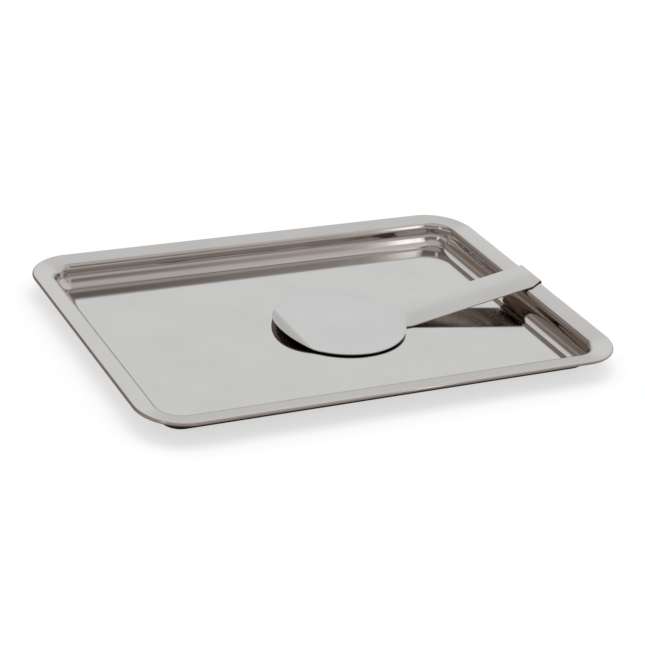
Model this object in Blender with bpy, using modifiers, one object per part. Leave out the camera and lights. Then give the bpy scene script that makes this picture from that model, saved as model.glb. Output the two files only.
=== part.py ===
"""Bill tray with a note clip: a pressed stainless-steel pan and a spring clip hooked over its rim.

Frame: +X runs along the tray towards the clip's rim, +Y across it, +Z up.
The origin is on the ground, under the middle of the whole object. Units are metres.
"""
import math

import bmesh
import bpy
from mathutils import Vector

# ---- driving dimensions -------------------------------------------------------------------
TRAY_LENGTH = 0.2000
TRAY_WIDTH = 0.1450
TRAY_HEIGHT = 0.0100          # ground to the rim's crest
SHEET = 0.0007                # thickness of the pan's sheet
RIM_CORNER_RADIUS = 0.0184    # seen from above, at the rim's outer edge

RIM_WIDTH = 0.0092            # outer edge to the corner where the wall drops
RIM_SLOPE = math.radians(8.0)    # the rim falls inwards
WALL_SLOPE = math.radians(6.0)   # the wall leans out of the vertical
LIP_DEPTH = 0.0009            # turned-down outer edge
LIP_RADIUS = 0.0008
RIM_FILLET = 0.0026           # rim to wall
FLOOR_FILLET = 0.0058         # wall to floor
FLOOR_MARGIN = 0.0162         # rim edge to the ring that closes the floor

STRIP = 0.0005                # thickness of the clip's strip
STRIP_WIDTH = 0.0182
GAP = 0.0003                  # clearance where metal rests on metal
STRIP_LIFT = 0.00075          # the strip's middle over the rim's crest
STRIP_FOOT = 0.0620           # rim edge to where the strip meets the floor and flattens
STRIP_LENGTH = 0.0690         # rim edge to the tongue's end, along the tray
HOOK_STANDOFF = 0.00055       # rim edge to the middle of the hook's upright
HOOK_RADIUS = 0.0008
HOOK_UNDER = 0.0040           # how far the hook reaches in under the rim
HOOK_CUT = 0.0026             # the hook's front corner is cut narrower by this
HINGE_INSET = 0.00565         # rim edge to the bending line
TONGUE_CLEARANCE = 0.0002     # under the tongue
CLIP_SLANT = math.tan(math.radians(3.0))    # sideways drift of the strip for its length
CLIP_SIDE = 0.0023            # the strip's middle on the rim, off the tray's centre line

DISC_RADIUS = 0.0270
DISC_SHEET = 0.0005
DISC_INSET = 0.0910           # rim edge to the disc's middle
DISC_SIDE = -0.0005           # the disc's middle, off the tray's centre line
DISC_DISH = 0.0001            # rise of the disc's rim over its middle
ROOT_LIFT = 0.0009            # rise of the end that lies on the tongue
TIP_SLOPE = 0.30              # of the turned-up free end
TIP_START = 0.74              # where the free end turns up, in disc radii
TIP_BEND = 0.04               # how gradually it does, in disc radii

CORNER_STEPS = 10
FILLET_STEPS = 6
DISC_SEGMENTS = 64
DISC_RINGS = 8

# the hook stands out past the rim, which moves the tray off the origin
TRAY_CENTRE_X = -(HOOK_STANDOFF + STRIP / 2) / 2
RIM_EDGE_X = TRAY_CENTRE_X + TRAY_LENGTH / 2


# ---- helpers ------------------------------------------------------------------------------
def clear_scene():
    for obj in list(bpy.data.objects):
        bpy.data.objects.remove(obj, do_unlink=True)


def new_collection(name):
    collection = bpy.data.collections.new(name)
    bpy.context.scene.collection.children.link(collection)
    return collection


def steel(name, colour, roughness):
    material = bpy.data.materials.new(name)
    material.use_nodes = True
    shader = material.node_tree.nodes["Principled BSDF"]
    shader.inputs["Base Color"].default_value = (*colour, 1.0)
    shader.inputs["Metallic"].default_value = 1.0
    shader.inputs["Roughness"].default_value = roughness
    return material


def mesh_object(name, bm, collection, material):
    mesh = bpy.data.meshes.new(name)
    bm.to_mesh(mesh)
    bm.free()
    mesh.materials.append(material)
    mesh.shade_smooth()
    mesh.set_sharp_from_angle(angle=math.radians(35))
    obj = bpy.data.objects.new(name, mesh)
    collection.objects.link(obj)
    return obj


def rounded_path(corners, steps):
    """Polyline through (x, z, radius) corners, each one rounded by an arc of its radius."""
    path = []
    for index, (x, z, radius) in enumerate(corners):
        here = Vector((x, z))
        if radius == 0.0 or index in (0, len(corners) - 1):
            path.append(here)
            continue
        before = (Vector(corners[index - 1][:2]) - here).normalized()
        after = (Vector(corners[index + 1][:2]) - here).normalized()
        half = before.angle(after) / 2
        centre = here + (before + after).normalized() * (radius / math.sin(half))
        start = here + before * (radius / math.tan(half)) - centre
        turn = (math.pi - 2 * half) * (1 if before.cross(after) < 0 else -1)
        for step in range(steps + 1):
            angle = turn * step / steps
            cos, sin = math.cos(angle), math.sin(angle)
            arm = Vector((start.x * cos - start.y * sin, start.x * sin + start.y * cos))
            path.append(centre + arm)
    return path


def rounded_rectangle(inset):
    """Points of the rim's outline moved in by inset, anticlockwise, as (x, y)."""
    radius = RIM_CORNER_RADIUS - inset
    middle_x = TRAY_LENGTH / 2 - RIM_CORNER_RADIUS
    middle_y = TRAY_WIDTH / 2 - RIM_CORNER_RADIUS
    points = []
    for quarter, (sx, sy) in enumerate(((1, 1), (-1, 1), (-1, -1), (1, -1))):
        for step in range(CORNER_STEPS + 1):
            angle = math.pi / 2 * (quarter + step / CORNER_STEPS)
            points.append((sx * middle_x + radius * math.cos(angle),
                           sy * middle_y + radius * math.sin(angle)))
    return points


# ---- the pan ------------------------------------------------------------------------------
def pan_profile():
    """The pan's upper face from the lip to the floor, as (inset, height)."""
    # the sharp corner that the lip's rounding brings down to the tray's height
    corner = TRAY_HEIGHT + LIP_RADIUS * (math.tan(RIM_SLOPE) + 1 / math.cos(RIM_SLOPE) - 1)
    wall_top = corner - RIM_WIDTH * math.tan(RIM_SLOPE)
    wall_foot = RIM_WIDTH + (wall_top - SHEET) * math.tan(WALL_SLOPE)
    return rounded_path([
        (0.0, TRAY_HEIGHT - LIP_DEPTH, 0.0),
        (0.0, corner, LIP_RADIUS),
        (RIM_WIDTH, wall_top, RIM_FILLET),
        (wall_foot, SHEET, FLOOR_FILLET),
        (FLOOR_MARGIN, SHEET, 0.0),
    ], FILLET_STEPS)


def make_pan(collection, material):
    bm = bmesh.new()
    rings = []
    for inset, height in pan_profile():
        rings.append([bm.verts.new((x, y, height)) for x, y in rounded_rectangle(inset)])
    for outer, inner in zip(rings, rings[1:]):
        count = len(outer)
        for i in range(count):
            j = (i + 1) % count
            bm.faces.new((outer[i], outer[j], inner[j], inner[i]))
    bm.faces.new(rings[-1])
    pan = mesh_object("tray_pan", bm, collection, material)
    pan.location.x = TRAY_CENTRE_X
    shell = pan.modifiers.new("sheet", "SOLIDIFY")
    shell.thickness = SHEET
    shell.offset = -1.0
    shell.use_even_offset = True
    return pan


# ---- the clip -----------------------------------------------------------------------------
def strip_middle(inset):
    """Height of the middle of the strip's thickness, at a distance in from the rim's edge."""
    at_edge = TRAY_HEIGHT + STRIP_LIFT
    at_foot = SHEET + TONGUE_CLEARANCE + STRIP / 2
    return at_edge + (at_foot - at_edge) * min(inset / STRIP_FOOT, 1.0)


def strip_axis(inset):
    """The strip's middle line seen from above: it runs slightly aslant down the tray."""
    return CLIP_SIDE - CLIP_SLANT * inset


def front_cut(inset):
    """How much of the strip's front edge is cut away: all of HOOK_CUT at the rim and beyond."""
    return HOOK_CUT * max(0.0, min(1.0, 1.0 - inset / (HINGE_INSET - GAP / 2)))


def make_strip(name, path, cuts, collection, material):
    """A strip bent along a path of (inset, height), with one front cut for each point."""
    bm = bmesh.new()
    front = []
    back = []
    for (inset, height), cut in zip(path, cuts):
        middle = strip_axis(inset)
        front.append(bm.verts.new((-inset, middle - STRIP_WIDTH / 2 + cut, height)))
        back.append(bm.verts.new((-inset, middle + STRIP_WIDTH / 2, height)))
    for i in range(len(path) - 1):
        bm.faces.new((front[i], front[i + 1], back[i + 1], back[i]))
    strip = mesh_object(name, bm, collection, material)
    shell = strip.modifiers.new("sheet", "SOLIDIFY")
    shell.thickness = STRIP
    shell.offset = 0.0
    shell.use_even_offset = True
    return strip


def make_hook(collection, material):
    under = TRAY_HEIGHT - LIP_DEPTH - GAP - STRIP
    path = rounded_path([
        (HOOK_UNDER, under, 0.0),
        (-HOOK_STANDOFF, under, HOOK_RADIUS),
        (-HOOK_STANDOFF, strip_middle(-HOOK_STANDOFF), HOOK_RADIUS),
        (HINGE_INSET - GAP / 2, strip_middle(HINGE_INSET - GAP / 2), 0.0),
    ], FILLET_STEPS)
    # the leg under the rim is as narrow as the fold
    last_fold_point = len(path) - 2
    cuts = [HOOK_CUT if i < last_fold_point else front_cut(inset)
            for i, (inset, height) in enumerate(path)]
    hook = make_strip("clip_hook", path, cuts, collection, material)
    hook.location.x = RIM_EDGE_X
    return hook


def make_arm(collection, material):
    start = HINGE_INSET + GAP / 2
    path = [(inset, strip_middle(inset)) for inset in (start, STRIP_FOOT, STRIP_LENGTH)]
    return make_strip("clip_arm", path, [0.0] * len(path), collection, material)


def disc_rise(x, y):
    """Rise of the disc over its middle: faintly dished, up on the tongue, free end turned up."""
    reach = math.hypot(x, y) / DISC_RADIUS
    root = max(0.0, x / DISC_RADIUS)
    past = -x / DISC_RADIUS - TIP_START
    tip = TIP_SLOPE * DISC_RADIUS * (past + math.hypot(past, TIP_BEND)) / 2
    return DISC_DISH * reach ** 2 + ROOT_LIFT * root ** 2 + tip


def make_disc(collection, material):
    bm = bmesh.new()
    underside = SHEET + GAP
    centre = bm.verts.new((0.0, 0.0, underside))
    rings = []
    for ring in range(1, DISC_RINGS + 1):
        radius = DISC_RADIUS * ring / DISC_RINGS
        loop = []
        for step in range(DISC_SEGMENTS):
            angle = 2 * math.pi * step / DISC_SEGMENTS
            x, y = radius * math.cos(angle), radius * math.sin(angle)
            loop.append(bm.verts.new((x, y, underside + disc_rise(x, y))))
        rings.append(loop)
    for i in range(DISC_SEGMENTS):
        j = (i + 1) % DISC_SEGMENTS
        bm.faces.new((centre, rings[0][i], rings[0][j]))
        for inner, outer in zip(rings, rings[1:]):
            bm.faces.new((inner[i], outer[i], outer[j], inner[j]))
    disc = mesh_object("clip_disc", bm, collection, material)
    shell = disc.modifiers.new("sheet", "SOLIDIFY")
    shell.thickness = DISC_SHEET
    shell.offset = 1.0
    return disc


def main():
    clear_scene()
    collection = new_collection("bill_tray")
    pan_steel = steel("pan_steel", (0.62, 0.61, 0.60), 0.06)
    strip_steel = steel("strip_steel", (0.63, 0.62, 0.61), 0.08)
    disc_steel = steel("disc_steel", (0.64, 0.63, 0.62), 0.05)

    make_pan(collection, pan_steel)
    make_hook(collection, strip_steel)

    # the arm and the disc swing about the bending line
    hinge_point = Vector((RIM_EDGE_X - HINGE_INSET, strip_axis(HINGE_INSET),
                          strip_middle(HINGE_INSET)))
    hinge = bpy.data.objects.new("clip_hinge", None)
    hinge.empty_display_size = 0.01
    hinge.location = hinge_point
    collection.objects.link(hinge)
    arm = make_arm(collection, strip_steel)
    arm.parent = hinge
    arm.location = Vector((RIM_EDGE_X, 0.0, 0.0)) - hinge_point
    disc = make_disc(collection, disc_steel)
    disc.parent = hinge
    disc.location = Vector((RIM_EDGE_X - DISC_INSET, DISC_SIDE, 0.0)) - hinge_point


main()
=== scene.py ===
"""Looks of the bill tray with a note clip: a polished pan, a spring strip and a dished disc.

Everything is in metres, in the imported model's frame: +X runs along the tray towards the rim that
carries the clip, +Y across it, +Z up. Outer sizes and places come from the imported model's boxes;
the other dimensions repeat the part's own.
"""
import math

import bmesh
import bpy
from mathutils import Matrix, Vector, noise


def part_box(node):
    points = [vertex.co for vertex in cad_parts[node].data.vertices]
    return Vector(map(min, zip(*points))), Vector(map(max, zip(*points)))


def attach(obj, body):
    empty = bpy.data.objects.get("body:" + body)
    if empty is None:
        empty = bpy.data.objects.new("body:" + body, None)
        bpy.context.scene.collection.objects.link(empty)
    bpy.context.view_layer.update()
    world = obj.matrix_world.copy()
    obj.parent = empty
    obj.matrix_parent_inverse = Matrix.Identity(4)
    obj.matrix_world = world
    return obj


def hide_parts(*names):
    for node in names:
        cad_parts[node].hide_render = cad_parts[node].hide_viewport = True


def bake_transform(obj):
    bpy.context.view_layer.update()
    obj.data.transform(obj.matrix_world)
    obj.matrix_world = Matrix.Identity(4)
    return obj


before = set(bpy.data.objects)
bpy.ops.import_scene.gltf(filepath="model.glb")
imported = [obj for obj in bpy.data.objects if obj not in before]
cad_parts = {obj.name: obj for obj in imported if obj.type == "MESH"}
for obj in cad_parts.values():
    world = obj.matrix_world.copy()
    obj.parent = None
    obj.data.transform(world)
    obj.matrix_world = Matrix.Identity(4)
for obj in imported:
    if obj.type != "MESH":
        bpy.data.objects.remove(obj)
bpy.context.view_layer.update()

# ---- sizes --------------------------------------------------------------------------------
PAN_LOW, PAN_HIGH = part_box("tray_pan")
DISC_LOW, DISC_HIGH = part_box("clip_disc")

LENGTH = PAN_HIGH.x - PAN_LOW.x
WIDTH = PAN_HIGH.y - PAN_LOW.y
HEIGHT = PAN_HIGH.z
CENTRE_X = (PAN_LOW.x + PAN_HIGH.x) / 2
SHEET = 0.0007                # thickness of the pan's sheet
CORNER_RADIUS = 0.0184        # of the rim's outer edge, seen from above
RIM_WIDTH = 0.0092            # outer edge to the corner where the wall drops
RIM_SLOPE = math.radians(8.0)
WALL_SLOPE = math.radians(6.0)
LIP_DEPTH = 0.0009
LIP_RADIUS = 0.0008
RIM_FILLET = 0.0026
FLOOR_FILLET = 0.0058
FLOOR_RING = 0.0162           # rim edge to the innermost ring, which closes the floor

STRIP = 0.0005                # thickness of the clip's strip
STRIP_WIDTH = 0.0182
STRIP_EDGE = 0.00015          # rounding of the strip's edges
STRIP_FOOT = 0.0620           # rim edge to where the strip flattens on the floor
STRIP_FOOT_RADIUS = 0.02
STRIP_LENGTH = 0.0690
STRIP_LIFT = 0.00075          # the strip's middle over the rim's crest
TONGUE_HEIGHT = 0.00115       # the middle of the tongue over the ground
HOOK_STANDOFF = 0.00055
HOOK_RADIUS = 0.0008
HOOK_UNDER = 0.0040
HOOK_DROP = 0.0017            # rim's crest to the middle of the hook's lower leg
HOOK_CUT = 0.0026             # the hook's front corner is cut narrower by this
HOOK_CUT_END = 0.0055         # rim edge to where the cut has run out
CLIP_SLANT = math.tan(math.radians(3.0))   # sideways drift of the strip for its length
CLIP_SIDE = 0.0023

DISC_RADIUS = 0.0270
DISC_SHEET = 0.0005
DISC_DISH = 0.0001
DISC_BORDER = 0.00008         # extra rise of the narrow border round the edge
BORDER_START = 0.90           # where that border begins, in disc radii
ROOT_LIFT = 0.0009
TIP_SLOPE = 0.30              # of the turned-up free end
TIP_START = 0.74              # where it turns up, in disc radii
TIP_BEND = 0.04               # how gradually it does
DISC_UNDERSIDE = 0.0010       # the disc's lowest point over the ground

WALL_WAVE = 0.00005           # how far the pressed walls stray from true
WAVE_SCALE = 21.0             # noise scales of that, along the tray and across it
WAVE_SCALE_UP = 160.0         # and upwards

CORNER_STEPS = 28
FILLET_STEPS = 14
LIP_STEPS = 8
EDGE_STEPS = 4
DISC_SEGMENTS = 160
DISC_RINGS = 24
SIDE_STEP = 0.004             # spacing of the points along the pan's straight sides
SECTION_STEP = 0.0012         # longest step along a section

# ---- camera -------------------------------------------------------------------------------
CAMERA_PLACE = Vector((-0.33094, -0.61644, 0.34738))
CAMERA_AIM = Vector((0.42567, 0.78976, -0.44167))
CAMERA_ROLL = math.radians(5.66)
LENS_MM = 109.4
SENSOR_MM = 36.0
CAMERA_REACH = 20.0


def add_camera():
    aim = CAMERA_AIM.normalized()
    right = aim.cross(Vector((0, 0, 1))).normalized()
    up = right.cross(aim)
    cos, sin = math.cos(CAMERA_ROLL), math.sin(CAMERA_ROLL)
    axes = Matrix((right * cos + up * sin, up * cos - right * sin, -aim)).transposed()
    data = bpy.data.cameras.new("camera")
    data.lens = LENS_MM
    data.sensor_width = SENSOR_MM
    data.clip_end = CAMERA_REACH
    camera = bpy.data.objects.new("camera", data)
    camera.matrix_world = Matrix.Translation(CAMERA_PLACE) @ axes.to_4x4()
    bpy.context.scene.collection.objects.link(camera)
    bpy.context.scene.camera = camera


# ---- node helpers -------------------------------------------------------------------------
def math_node(tree, operation, *values):
    """A Math node whose inputs are sockets or numbers; gives its output socket."""
    node = tree.nodes.new("ShaderNodeMath")
    node.operation = operation
    for slot, value in zip(node.inputs, values):
        if isinstance(value, (int, float)):
            slot.default_value = value
        else:
            tree.links.new(value, slot)
    return node.outputs[0]


def smooth(tree, value, start, end):
    """0 before start, 1 after end, easing between them; start may be the larger."""
    node = tree.nodes.new("ShaderNodeMapRange")
    node.interpolation_type = "SMOOTHSTEP"
    tree.links.new(value, node.inputs["Value"])
    low, high = (start, end) if start < end else (end, start)
    node.inputs["From Min"].default_value = low
    node.inputs["From Max"].default_value = high
    node.inputs["To Min"].default_value = 0.0 if start < end else 1.0
    node.inputs["To Max"].default_value = 1.0 if start < end else 0.0
    return node.outputs["Result"]


def mix_colour(tree, factor, first, second):
    """Mixes two colours, each a socket or an RGB tuple."""
    node = tree.nodes.new("ShaderNodeMix")
    node.data_type = "RGBA"
    tree.links.new(factor, node.inputs["Factor"])
    for name, value in (("A", first), ("B", second)):
        socket = next(s for s in node.inputs if s.name == name and s.type == "RGBA")
        if isinstance(value, tuple):
            socket.default_value = (*value, 1.0)
        else:
            tree.links.new(value, socket)
    return next(s for s in node.outputs if s.type == "RGBA")


def noise_texture(tree, vector, scale, detail, roughness):
    node = tree.nodes.new("ShaderNodeTexNoise")
    node.inputs["Scale"].default_value = scale
    node.inputs["Detail"].default_value = detail
    node.inputs["Roughness"].default_value = roughness
    tree.links.new(vector, node.inputs["Vector"])
    return node.outputs["Fac"]


# ---- studio -------------------------------------------------------------------------------
# The surroundings are only seen mirrored in the steel. A patch of them has a colour and a place,
# in degrees: azimuth from +Y towards +X as (middle, half width, softness), and elevation as
# (low, softness, high, softness). A rise is the pair of elevations that a colour eases in between.
ROOM = (0.56, 0.50, 0.465)           # the camera's side of the room
ROOM_RISE = (8, 20)
ROOM_LOW = (0.29, 0.245, 0.22)
ROOM_HIGH = (0.46, 0.405, 0.375)
ROOM_HIGH_RISE = (28, 40)
ROOM_HIGH_LEFT = (0.25, 0.205, 0.18)
ROOM_HIGH_X = (0.30, 0.44)           # the direction's X, where left turns into right

STREAK = (1.05, 0.98, 0.93)          # a bright strip beyond the left, in the tray's corners
STREAK_AZIMUTH = (-118, 4, 7)
STREAK_ELEVATION = (28, 6, 48, 8)

SIDE = (0.80, 0.74, 0.71)            # a light wall beyond the clip
SIDE_AZIMUTH = (80, 20, 30)
SIDE_ELEVATION = (0, 10, 60, 20)

BACKDROP = (0.89, 0.89, 0.885)       # what the tray's floor mirrors, beyond the tray
BACKDROP_EDGE = (0.80, 0.795, 0.78)
BACKDROP_LOW = (0.60, 0.585, 0.565)
BACKDROP_AZIMUTH = (32, 26, 14)
BACKDROP_ELEVATION = (0, 8, 46, 14)
BACKDROP_RISE = (5, 18)
BACKDROP_BRIGHT = (20, 5, 30, 5)

SHADE = (0.23, 0.175, 0.145)         # a dark corner of the room, beyond the left
SHADE_AZIMUTH = (-36, 12, 18)
SHADE_ELEVATION = (0, 10, 24, 14)

CEILING = (0.62, 0.57, 0.545)
CEILING_RISE = (50, 72)

WINDOW = (2.3, 2.2, 2.1)             # a tall narrow light behind the camera
WINDOW_X = 0.469
WINDOW_HALF_WIDTH = 0.004
WINDOW_FADE = 0.009                  # how far from WINDOW_X its light has faded out
WINDOW_ELEVATION = (34, 5, 55, 6)

AMBIENT = (0.72, 0.72, 0.72)         # what the matt ground receives from all sides
PALE = (1.0, 1.0, 1.0)               # the plain background

GROUND = (0.42, 0.42, 0.42)
# painted shade: the ground is darker and browner wherever the steel mirrors it
GROUND_PAINTED_SHADE_IN_MIRRORS = (0.34, 0.29, 0.26)
GROUND_GLOW = 0.62                   # evens out the shadow that the camera sees
GROUND_SIZE = 6.0

LAMP_WATTS = 6.0
LAMP_SIZE = 1.0
LAMP_HEIGHT = 1.4                    # over the ground


def around(tree, azimuth, middle, half, soft):
    """1 within half an angle of an azimuth, in degrees, easing to 0 over soft."""
    away = math_node(tree, "SUBTRACT", azimuth, math.radians(middle))
    turned = math_node(tree, "ABSOLUTE", math_node(tree, "WRAP", away, math.pi, -math.pi))
    return smooth(tree, turned, math.radians(half + soft), math.radians(half))


def between(tree, elevation, low, low_soft, high, high_soft):
    """1 between two elevations, in degrees, easing to 0 below and above them."""
    above = smooth(tree, elevation, math.radians(low - low_soft), math.radians(low))
    below = smooth(tree, elevation, math.radians(high + high_soft), math.radians(high))
    return math_node(tree, "MULTIPLY", above, below)


def rising(tree, elevation, low, high):
    """0 below one elevation and 1 above another, in degrees."""
    return smooth(tree, elevation, math.radians(low), math.radians(high))


def surroundings(tree):
    """The colour of the room in each direction; gives its output socket."""
    direction = tree.nodes.new("ShaderNodeTexCoord").outputs["Generated"]
    split = tree.nodes.new("ShaderNodeSeparateXYZ")
    tree.links.new(direction, split.inputs[0])
    x, y, z = split.outputs
    azimuth = math_node(tree, "ARCTAN2", x, y)
    elevation = math_node(tree, "ARCSINE", z)

    def patch(azimuths, elevations):
        return math_node(tree, "MULTIPLY", around(tree, azimuth, *azimuths),
                         between(tree, elevation, *elevations))

    colour = mix_colour(tree, rising(tree, elevation, *ROOM_RISE), ROOM_LOW, ROOM)
    high = mix_colour(tree, smooth(tree, x, *ROOM_HIGH_X), ROOM_HIGH_LEFT, ROOM_HIGH)
    colour = mix_colour(tree, rising(tree, elevation, *ROOM_HIGH_RISE), colour, high)
    colour = mix_colour(tree, patch(STREAK_AZIMUTH, STREAK_ELEVATION), colour, STREAK)
    colour = mix_colour(tree, patch(SIDE_AZIMUTH, SIDE_ELEVATION), colour, SIDE)

    backdrop = mix_colour(tree, rising(tree, elevation, *BACKDROP_RISE),
                          BACKDROP_LOW, BACKDROP_EDGE)
    backdrop = mix_colour(tree, between(tree, elevation, *BACKDROP_BRIGHT), backdrop, BACKDROP)
    colour = mix_colour(tree, patch(BACKDROP_AZIMUTH, BACKDROP_ELEVATION), colour, backdrop)
    colour = mix_colour(tree, patch(SHADE_AZIMUTH, SHADE_ELEVATION), colour, SHADE)
    colour = mix_colour(tree, rising(tree, elevation, *CEILING_RISE), colour, CEILING)

    # the window's upright edges are planes of even X, so it stays as narrow in every curve
    aside = math_node(tree, "ABSOLUTE", math_node(tree, "SUBTRACT", x, WINDOW_X))
    window = math_node(tree, "MULTIPLY", smooth(tree, aside, WINDOW_FADE, WINDOW_HALF_WIDTH),
                       between(tree, elevation, *WINDOW_ELEVATION))
    behind = smooth(tree, y, 0.0, -0.1)
    return mix_colour(tree, math_node(tree, "MULTIPLY", window, behind), colour, WINDOW)


def add_world():
    """Mirrored rays see the room, the matt ground an even light, the camera a plain background."""
    world = bpy.data.worlds.new("studio")
    bpy.context.scene.world = world
    world.use_nodes = True
    tree = world.node_tree
    rays = tree.nodes.new("ShaderNodeLightPath")
    colour = mix_colour(tree, rays.outputs["Is Diffuse Ray"], surroundings(tree), AMBIENT)
    colour = mix_colour(tree, rays.outputs["Is Camera Ray"], colour, PALE)
    tree.links.new(colour, tree.nodes["Background"].inputs["Color"])


def add_lamp():
    """A soft light over the tray for the ground; the steel doesn't mirror it."""
    light = bpy.data.lights.new("overhead", "AREA")
    light.shape = "RECTANGLE"
    light.size = LAMP_SIZE
    light.size_y = LAMP_SIZE
    light.energy = LAMP_WATTS
    lamp = bpy.data.objects.new("overhead", light)
    lamp.location = (0.0, 0.0, LAMP_HEIGHT)
    lamp.visible_glossy = False
    bpy.context.scene.collection.objects.link(lamp)


def ground_material():
    material = bpy.data.materials.new("ground")
    material.use_nodes = True
    tree = material.node_tree
    shader = tree.nodes["Principled BSDF"]
    rays = tree.nodes.new("ShaderNodeLightPath")
    # painted shade: mirrored rays see a darker, browner ground
    colour = mix_colour(tree, rays.outputs["Is Glossy Ray"], GROUND, GROUND_PAINTED_SHADE_IN_MIRRORS)
    tree.links.new(colour, shader.inputs["Base Color"])
    shader.inputs["Emission Color"].default_value = (1.0, 1.0, 1.0, 1.0)
    glow = math_node(tree, "MULTIPLY", rays.outputs["Is Camera Ray"], GROUND_GLOW)
    tree.links.new(glow, shader.inputs["Emission Strength"])
    shader.inputs["Roughness"].default_value = 0.8
    shader.inputs["Specular IOR Level"].default_value = 0.0
    return material


def add_ground():
    bm = bmesh.new()
    bmesh.ops.create_grid(bm, x_segments=2, y_segments=2, size=GROUND_SIZE)
    mesh = bpy.data.meshes.new("ground")
    bm.to_mesh(mesh)
    bm.free()
    mesh.materials.append(ground_material())
    ground = bpy.data.objects.new("ground", mesh)
    bpy.context.scene.collection.objects.link(ground)


def add_studio():
    add_world()
    add_lamp()
    add_ground()
    bpy.context.scene.view_settings.view_transform = "Standard"


# ---- steel --------------------------------------------------------------------------------
STEEL = (0.63, 0.625, 0.62)
DISC_STEEL = (0.635, 0.635, 0.635)
UNDERSIDE_PAINTED_SHADE = (0.30, 0.25, 0.225)     # painted shade on a side that looks down
# painted shade on the strip's side that looks down
STRIP_UNDERSIDE_PAINTED_SHADE = (0.42, 0.34, 0.29)
UNDERSIDE_DULLNESS = 0.12           # added to the roughness there
LOOKS_DOWN = (-0.15, -0.55)          # the normal's Z, from the plain colour to the painted shade

CLOUD_SCALE = 38.0
CLOUD_TINT = 0.965
SMEAR_SCALE = 90.0
SMEAR_DULLNESS = 0.03
HAIRLINE_ALONG = 30.0                # noise scales along the hairlines
HAIRLINE_ACROSS = 2400.0             # and across them
HAIRLINE_DULLNESS = 0.02
HAIRLINE_DEPTH = 0.000001
RIPPLE_SCALE = 22.0
RIPPLE_DEPTH = 0.00001


def bump(tree, height, strength, depth):
    node = tree.nodes.new("ShaderNodeBump")
    node.inputs["Strength"].default_value = strength
    node.inputs["Distance"].default_value = depth
    tree.links.new(height, node.inputs["Height"])
    return node


def polished_steel(name, colour, underside_shade, roughness, grain_axis):
    """Polished sheet: faint hairlines along one axis, cloudy wiping marks and a soft waviness.

    The side that looks down gets painted shade in its colour, and is duller.
    """
    material = bpy.data.materials.new(name)
    material.use_nodes = True
    tree = material.node_tree
    shader = tree.nodes["Principled BSDF"]
    shader.inputs["Metallic"].default_value = 1.0
    place = tree.nodes.new("ShaderNodeTexCoord").outputs["Object"]

    clouds = noise_texture(tree, place, CLOUD_SCALE, 4.0, 0.6)
    tint = mix_colour(tree, smooth(tree, clouds, 0.35, 0.7), colour,
                      tuple(part * CLOUD_TINT for part in colour))
    facing = tree.nodes.new("ShaderNodeSeparateXYZ")
    tree.links.new(tree.nodes.new("ShaderNodeNewGeometry").outputs["Normal"], facing.inputs[0])
    below = smooth(tree, facing.outputs["Z"], *LOOKS_DOWN)
    # painted shade: a darker colour wherever the surface looks down
    tree.links.new(mix_colour(tree, below, tint, underside_shade), shader.inputs["Base Color"])

    stretch = tree.nodes.new("ShaderNodeMapping")
    stretch.inputs["Scale"].default_value = [
        HAIRLINE_ALONG if axis == grain_axis else HAIRLINE_ACROSS for axis in range(3)]
    tree.links.new(place, stretch.inputs["Vector"])
    hairlines = noise_texture(tree, stretch.outputs["Vector"], 1.0, 3.0, 0.7)
    smears = noise_texture(tree, place, SMEAR_SCALE, 3.0, 0.55)
    dull = math_node(tree, "MULTIPLY_ADD", smooth(tree, smears, 0.45, 0.8),
                     SMEAR_DULLNESS, roughness)
    dull = math_node(tree, "MULTIPLY_ADD", smooth(tree, hairlines, 0.55, 0.8),
                     HAIRLINE_DULLNESS, dull)
    dull = math_node(tree, "MULTIPLY_ADD", below, UNDERSIDE_DULLNESS, dull)
    tree.links.new(dull, shader.inputs["Roughness"])

    ripple = noise_texture(tree, place, RIPPLE_SCALE, 1.0, 0.4)
    wave = bump(tree, ripple, 1.0, RIPPLE_DEPTH)
    scratch = bump(tree, hairlines, 0.25, HAIRLINE_DEPTH)
    tree.links.new(wave.outputs["Normal"], scratch.inputs["Normal"])
    tree.links.new(scratch.outputs["Normal"], shader.inputs["Normal"])
    return material


# ---- shapes -------------------------------------------------------------------------------
def rounded_path(corners, steps):
    """Polyline through (x, z, radius) corners, each one rounded by an arc of its radius."""
    path = []
    for index, (x, z, radius) in enumerate(corners):
        here = Vector((x, z))
        if radius == 0.0 or index in (0, len(corners) - 1):
            path.append(here)
            continue
        before = (Vector(corners[index - 1][:2]) - here).normalized()
        after = (Vector(corners[index + 1][:2]) - here).normalized()
        half = before.angle(after) / 2
        centre = here + (before + after).normalized() * (radius / math.sin(half))
        start = here + before * (radius / math.tan(half)) - centre
        turn = (math.pi - 2 * half) * (1 if before.cross(after) < 0 else -1)
        for step in range(steps + 1):
            angle = turn * step / steps
            cos, sin = math.cos(angle), math.sin(angle)
            arm = Vector((start.x * cos - start.y * sin, start.x * sin + start.y * cos))
            path.append(centre + arm)
    return path


def resampled(path, longest):
    """The same polyline with long stretches divided evenly."""
    points = [path[0]]
    for a, b in zip(path, path[1:]):
        pieces = max(1, math.ceil((b - a).length / longest))
        points += [a.lerp(b, step / pieces) for step in range(1, pieces + 1)]
    return points


def side_normals(path):
    """Unit normals to the right of the direction of travel, one for each point of the path."""
    normals = []
    for index in range(len(path)):
        before = path[max(index - 1, 0)]
        after = path[min(index + 1, len(path) - 1)]
        along = (after - before).normalized()
        normals.append(Vector((along.y, -along.x)))
    return normals


def half_turn(start, end, steps):
    """Points between start and end on the half circle that turns anticlockwise from start."""
    middle = (start + end) / 2
    arm = start - middle
    points = []
    for step in range(1, steps):
        cos, sin = math.cos(math.pi * step / steps), math.sin(math.pi * step / steps)
        points.append(middle + Vector((arm.x * cos - arm.y * sin, arm.x * sin + arm.y * cos)))
    return points


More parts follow.
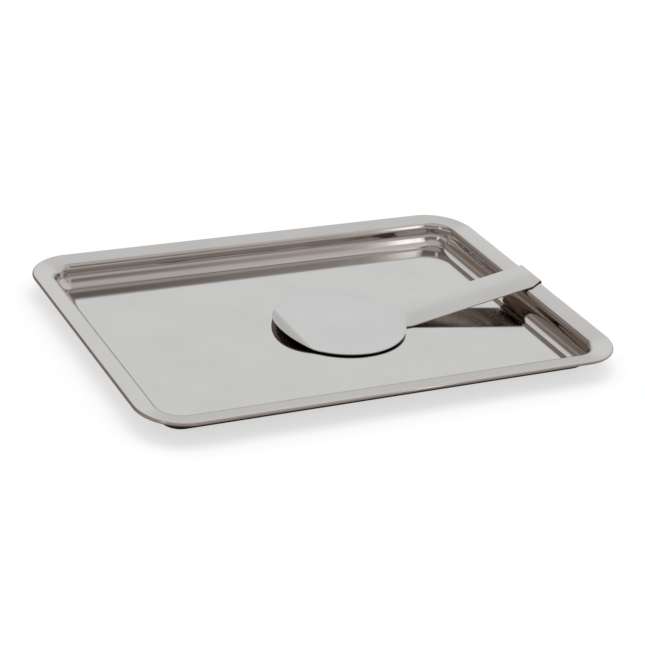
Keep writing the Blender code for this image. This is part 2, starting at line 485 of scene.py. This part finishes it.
def loft(bm, rings):
    """Joins neighbouring rings of vertices with quads and closes the first and last ring."""
    for first, second in zip(rings, rings[1:]):
        for i in range(len(first)):
            j = (i + 1) % len(first)
            bm.faces.new((first[i], second[i], second[j], first[j]))
    bm.faces.new(rings[0])
    bm.faces.new(list(reversed(rings[-1])))


def object_from(name, bm, material):
    mesh = bpy.data.meshes.new(name)
    bm.to_mesh(mesh)
    bm.free()
    mesh.materials.append(material)
    mesh.shade_smooth()
    mesh.set_sharp_from_angle(angle=math.radians(40))
    obj = bpy.data.objects.new(name, mesh)
    bpy.context.scene.collection.objects.link(obj)
    return obj


# ---- pan ----------------------------------------------------------------------------------
def rim_outline(inset):
    """The rim's outer edge moved in by inset, anticlockwise, with divided straight sides."""
    radius = CORNER_RADIUS - inset
    middle_x = LENGTH / 2 - CORNER_RADIUS
    middle_y = WIDTH / 2 - CORNER_RADIUS
    centres = [(middle_x, middle_y), (-middle_x, middle_y), (-middle_x, -middle_y),
               (middle_x, -middle_y)]
    points = []
    for quarter, (x, y) in enumerate(centres):
        for step in range(CORNER_STEPS + 1):
            angle = math.pi / 2 * (quarter + step / CORNER_STEPS)
            points.append(Vector((x + radius * math.cos(angle), y + radius * math.sin(angle))))
        next_x, next_y = centres[(quarter + 1) % 4]
        turned = math.pi / 2 * (quarter + 1)
        end = Vector((next_x + radius * math.cos(turned), next_y + radius * math.sin(turned)))
        start = points[-1].copy()
        pieces = round((end - start).length / SIDE_STEP)
        points += [start.lerp(end, step / pieces) for step in range(1, pieces)]
    return points


def pan_section():
    """The upper face from the lip's cut edge to the floor, as (inset, height)."""
    corner = HEIGHT + LIP_RADIUS * (math.tan(RIM_SLOPE) + 1 / math.cos(RIM_SLOPE) - 1)
    wall_top = corner - RIM_WIDTH * math.tan(RIM_SLOPE)
    wall_foot = RIM_WIDTH + (wall_top - SHEET) * math.tan(WALL_SLOPE)
    return resampled(rounded_path([
        (0.0, HEIGHT - LIP_DEPTH, 0.0),
        (0.0, corner, LIP_RADIUS),
        (RIM_WIDTH, wall_top, RIM_FILLET),
        (wall_foot, SHEET, FLOOR_FILLET),
        (FLOOR_RING, SHEET, 0.0),
    ], FILLET_STEPS), SECTION_STEP)


def wall_wave(x, y, inset, height):
    """How far the pressed wall stands in or out of true, in metres."""
    above_floor = max(0.0, min(1.0, (height - SHEET) / FLOOR_FILLET))
    inside_rim = max(0.0, min(1.0, inset / RIM_WIDTH))
    wave = noise.noise(Vector((x * WAVE_SCALE, y * WAVE_SCALE, height * WAVE_SCALE_UP)))
    return WALL_WAVE * wave * above_floor * inside_rim


def make_pan(material):
    upper = pan_section()
    under = [point + side * SHEET for point, side in zip(upper, side_normals(upper))]
    section = list(reversed(upper)) + half_turn(upper[0], under[0], LIP_STEPS) + under
    bm = bmesh.new()
    rings = []
    for inset, height in section:
        outline = rim_outline(inset)
        wider = rim_outline(inset - SHEET)
        ring = []
        for point, out in zip(outline, wider):
            outward = (out - point).normalized()
            wave = outward * wall_wave(point.x, point.y, inset, height)
            ring.append(bm.verts.new((point.x + wave.x + CENTRE_X, point.y + wave.y, height)))
        rings.append(ring)
    loft(bm, rings)
    pan = object_from("pan", bm, material)
    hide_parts("tray_pan")
    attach(pan, "tray")


# ---- clip ---------------------------------------------------------------------------------
def clip_place(inset, across, height):
    """A point of the clip: inwards from the rim's edge, across its aslant middle line, and up."""
    return Vector((CENTRE_X + LENGTH / 2 - inset, CLIP_SIDE - inset * CLIP_SLANT + across, height))


def strip_path():
    """The middle of the strip from under the rim, round the hook, to the tongue's end."""
    at_edge = HEIGHT + STRIP_LIFT
    slope = (at_edge - TONGUE_HEIGHT) / STRIP_FOOT
    lower_leg = HEIGHT - HOOK_DROP
    return resampled(rounded_path([
        (HOOK_UNDER, lower_leg, 0.0),
        (-HOOK_STANDOFF, lower_leg, HOOK_RADIUS),
        (-HOOK_STANDOFF, at_edge + slope * HOOK_STANDOFF, HOOK_RADIUS),
        (STRIP_FOOT, TONGUE_HEIGHT, STRIP_FOOT_RADIUS),
        (STRIP_LENGTH, TONGUE_HEIGHT, 0.0),
    ], FILLET_STEPS), SECTION_STEP)


def strip_section(shrink, cut):
    """The strip's section as (across, up), anticlockwise, rounded, its front edge cut away."""
    half_width = (STRIP_WIDTH - cut) / 2 - shrink
    half_height = STRIP / 2 - shrink
    radius = STRIP_EDGE
    points = []
    for quarter, (sx, sy) in enumerate(((1, 1), (-1, 1), (-1, -1), (1, -1))):
        for step in range(EDGE_STEPS + 1):
            angle = math.pi / 2 * (quarter + step / EDGE_STEPS)
            points.append((cut / 2 + sx * (half_width - radius) + radius * math.cos(angle),
                           sy * (half_height - radius) + radius * math.sin(angle)))
    return points


def make_strip(material):
    path = strip_path()
    sides = side_normals(path)
    bm = bmesh.new()
    rings = []
    last = len(path) - 1
    fold_done = path.index(min(path, key=lambda point: point.x))
    for index, (point, side) in enumerate(zip(path, sides)):
        full = index <= fold_done or point.x <= 0.0
        cut = HOOK_CUT * (1.0 if full else max(0.0, 1.0 - point.x / HOOK_CUT_END))
        shrink = STRIP_EDGE / 2 if index in (0, last) else 0.0
        ring = []
        for across, up in strip_section(shrink, cut):
            spot = point - side * up
            ring.append(bm.verts.new(clip_place(spot.x, across, spot.y)))
        rings.append(ring)
    loft(bm, rings)
    bmesh.ops.recalc_face_normals(bm, faces=bm.faces)
    strip = object_from("clip_strip", bm, material)
    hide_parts("clip_hook", "clip_arm")
    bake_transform(strip)


def disc_rise(x, y):
    """Rise of the disc: faintly dished, a border round it, up on the tongue, free end up."""
    reach = math.hypot(x, y) / DISC_RADIUS
    border = max(0.0, (reach - BORDER_START) / (1.0 - BORDER_START))
    root = max(0.0, x / DISC_RADIUS)
    past = -x / DISC_RADIUS - TIP_START
    tip = TIP_SLOPE * DISC_RADIUS * (past + math.hypot(past, TIP_BEND)) / 2
    return DISC_DISH * reach ** 2 + DISC_BORDER * border ** 2 + ROOT_LIFT * root ** 2 + tip


def make_disc(material):
    """A plate of even thickness: rings over the top, round the edge and back underneath."""
    reach = DISC_RADIUS - DISC_SHEET / 2
    section = [(reach * ring / DISC_RINGS, DISC_SHEET) for ring in range(1, DISC_RINGS + 1)]
    for step in range(1, LIP_STEPS):
        angle = math.pi * (0.5 - step / LIP_STEPS)
        section.append((reach + DISC_SHEET / 2 * math.cos(angle),
                        DISC_SHEET / 2 * (1 + math.sin(angle))))
    section += [(reach * ring / DISC_RINGS, 0.0) for ring in range(DISC_RINGS, 0, -1)]
    middle = (DISC_LOW + DISC_HIGH) / 2
    place = Vector((middle.x, middle.y, DISC_UNDERSIDE))
    bm = bmesh.new()
    rings = []
    for radius, height in section:
        ring = []
        for step in range(DISC_SEGMENTS):
            angle = 2 * math.pi * step / DISC_SEGMENTS
            x, y = radius * math.cos(angle), radius * math.sin(angle)
            ring.append(bm.verts.new(place + Vector((x, y, height + disc_rise(x, y)))))
        rings.append(ring)
    loft(bm, rings)
    disc = object_from("clip_disc_plate", bm, material)
    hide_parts("clip_disc")
    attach(disc, "clip")


add_camera()
add_studio()
make_pan(polished_steel("pan_steel", STEEL, UNDERSIDE_PAINTED_SHADE, 0.07, 0))
make_strip(polished_steel("strip_steel", STEEL, STRIP_UNDERSIDE_PAINTED_SHADE, 0.12, 0))
make_disc(polished_steel("disc_steel", DISC_STEEL, UNDERSIDE_PAINTED_SHADE, 0.10, 1))
